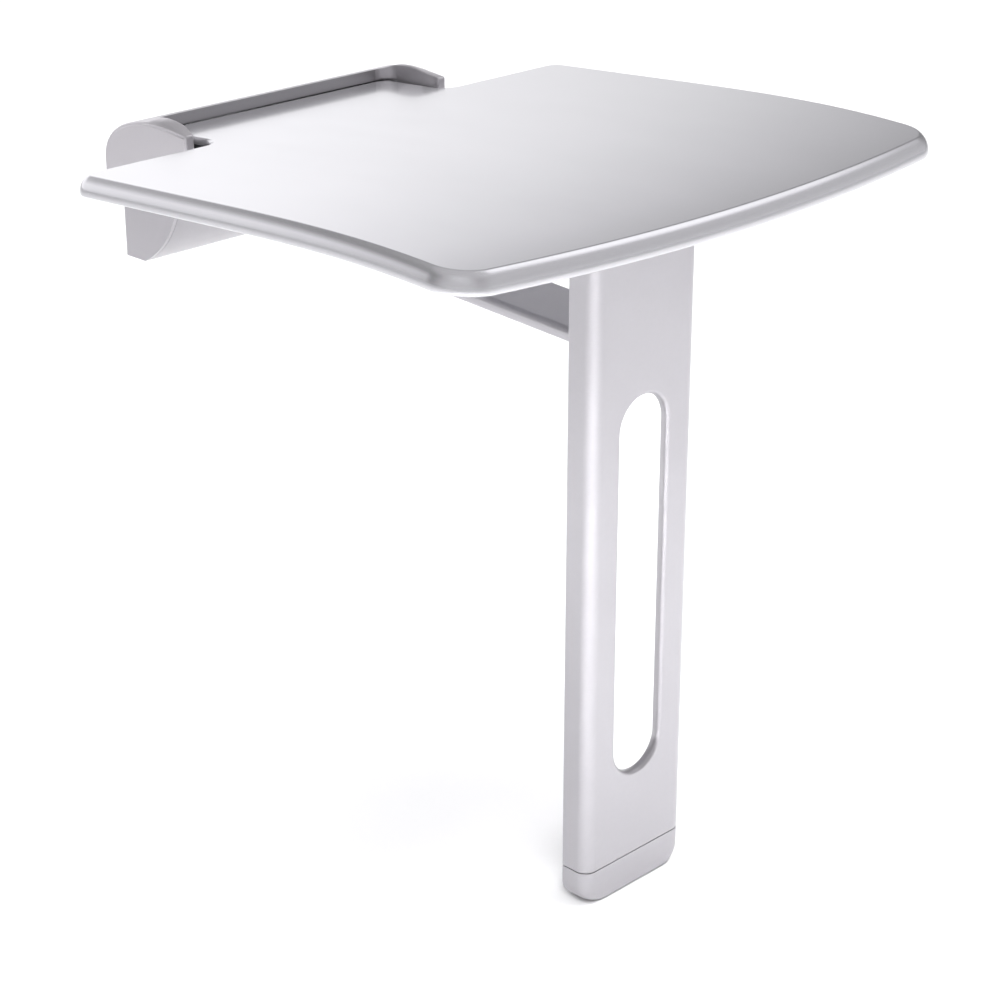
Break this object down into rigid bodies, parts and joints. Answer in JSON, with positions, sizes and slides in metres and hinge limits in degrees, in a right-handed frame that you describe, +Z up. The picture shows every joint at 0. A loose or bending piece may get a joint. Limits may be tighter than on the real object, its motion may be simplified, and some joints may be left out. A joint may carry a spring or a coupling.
{
  "type": "wall-mounted folding shower seat",
  "caption": "Wall rail with a hinged, gently curved seat and a wide drop-down leg kept upright by a link strut; the seat, leg and strut fold flat against the wall together.",
  "frame": {"origin": "point on the wall face, 430 mm above the floor, on the seat's middle plane", "axes": "+Z up, +Y into the wall, +X to the right for someone facing the wall; the seat reaches towards -Y"},
  "size_m": [0.44, 0.472, 0.5011],
  "materials": {
    "wall_rail": "pearl silver satin coat",
    "left_end_plate": "pearl silver satin coat",
    "right_end_plate": "pearl silver satin coat",
    "left_end_cap": "pearl silver, semi-gloss",
    "right_end_cap": "pearl silver, semi-gloss",
    "left_hinge_bracket": "brushed stainless",
    "right_hinge_bracket": "brushed stainless",
    "left_hinge_pin": "turned stainless",
    "right_hinge_pin": "turned stainless",
    "hinge_pin_clips": "blackened spring steel",
    "strut_bracket": "brushed stainless",
    "strut_wall_pin": "turned stainless",
    "strut_wall_pin_clip": "blackened spring steel",
    "bracket_bolts": "turned stainless",
    "end_plate_screws": "turned stainless",
    "stop_pads": "matt rubber",
    "seat_shell": "pale pearl silver, semi-gloss",
    "support_frame": "brushed stainless",
    "left_seat_knuckle": "brushed stainless",
    "right_seat_knuckle": "brushed stainless",
    "hinge_bushes": "natural nylon",
    "leg_lug": "brushed stainless",
    "leg_lug_bushes": "natural nylon",
    "underside_cover": "fine grained",
    "frame_screws": "turned stainless",
    "knuckle_screws": "turned stainless",
    "leg_channel": "pearl silver satin coat",
    "leg_bracket": "brushed stainless",
    "leg_bracket_screws": "turned stainless",
    "leg_pivot_pin": "turned stainless",
    "strut_leg_pin": "turned stainless",
    "leg_pin_clips": "blackened spring steel",
    "foot_cap": "pearl silver satin coat",
    "foot_screws": "turned stainless",
    "foot_pad": "matt rubber",
    "strut_bar": "pearl silver satin coat",
    "strut_leg_end": "brushed stainless",
    "strut_wall_end": "brushed stainless",
    "strut_bushes": "natural nylon"
  },
  "bodies": {
    "bracket": {"wall_rail": "wall_rail", "left_end_plate": "left_end_plate", "right_end_plate": "right_end_plate", "left_end_cap": "left_end_cap", "right_end_cap": "right_end_cap", "left_hinge_bracket": "left_hinge_bracket", "right_hinge_bracket": "right_hinge_bracket", "left_hinge_pin": "left_hinge_pin", "right_hinge_pin": "right_hinge_pin", "hinge_pin_clips": "hinge_pin_clips", "strut_bracket": "strut_bracket", "strut_wall_pin": "strut_wall_pin", "strut_wall_pin_clip": "strut_wall_pin_clip", "bracket_bolts": "bracket_bolts", "end_plate_screws": "end_plate_screws", "stop_pads": "stop_pads"},
    "seat": {"seat_shell": "seat_shell", "support_frame": "support_frame", "left_seat_knuckle": "left_seat_knuckle", "right_seat_knuckle": "right_seat_knuckle", "hinge_bushes": "hinge_bushes", "leg_lug": "leg_lug", "leg_lug_bushes": "leg_lug_bushes", "underside_cover": "underside_cover", "frame_screws": "frame_screws", "knuckle_screws": "knuckle_screws"},
    "leg": {"leg_channel": "leg_channel", "leg_bracket": "leg_bracket", "leg_bracket_screws": "leg_bracket_screws", "leg_pivot_pin": "leg_pivot_pin", "strut_leg_pin": "strut_leg_pin", "leg_pin_clips": "leg_pin_clips", "foot_cap": "foot_cap", "foot_screws": "foot_screws", "foot_pad": "foot_pad"},
    "strut": {"strut_bar": "strut_bar", "strut_leg_end": "strut_leg_end", "strut_wall_end": "strut_wall_end", "strut_bushes": "strut_bushes"}
  },
  "joints": [
    {"name": "seat_fold", "type": "hinge", "parent": "bracket", "child": "seat", "pos_m": [0, -0.058, 0.039], "axis": [-1, 0, 0], "range_deg": [0, 90]},
    {"name": "leg_fold", "type": "hinge", "parent": "seat", "child": "leg", "pos_m": [0, -0.377, 0.0234], "axis": [1, 0, 0], "range_deg": [0, 90]},
    {"name": "strut_swing", "type": "hinge", "parent": "bracket", "child": "strut", "pos_m": [0, -0.064, -0.0219], "axis": [-1, 0, 0], "range_deg": [0, 90]}
  ],
  "couplings": [
    {"joint": "leg_fold", "follows": "seat_fold", "ratio": 1},
    {"joint": "strut_swing", "follows": "seat_fold", "ratio": 1}
  ]
}
